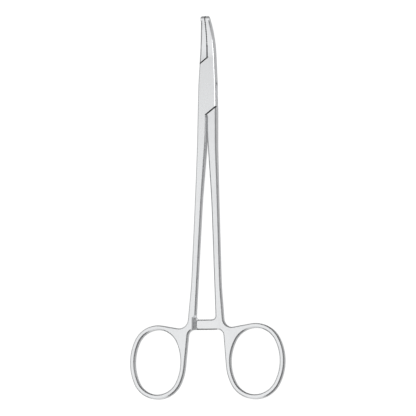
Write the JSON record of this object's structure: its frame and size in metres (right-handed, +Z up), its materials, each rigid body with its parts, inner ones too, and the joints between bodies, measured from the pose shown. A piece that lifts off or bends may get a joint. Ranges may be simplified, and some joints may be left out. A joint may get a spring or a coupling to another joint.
{
  "type": "surgical needle holder",
  "caption": "Ring-handled needle holder with curved cross-cut jaws, a box lock and a toothed ratchet between its shanks.",
  "frame": {"origin": "on the pivot axis, at the underside of the box lock, which is the face that the instrument lies on", "axes": "+Y from the pivot to the jaw tips, +X to the right, +Z up, the way that the jaws curve"},
  "size_m": [0.087, 0.21, 0.0116],
  "materials": {
    "satin_steel": "satin ground stainless steel",
    "pin_steel": "stainless steel, ground flush"
  },
  "bodies": {
    "box_body": {"box_half": "satin_steel", "pivot_pin": "pin_steel"},
    "tenon_body": {"tenon_half": "satin_steel"}
  },
  "joints": [
    {"name": "box_lock_hinge", "type": "hinge", "parent": "box_body", "child": "tenon_body", "pos_m": [0, 0, 0.003], "axis": [0, 0, 1], "range_deg": [0, 45]}
  ]
}
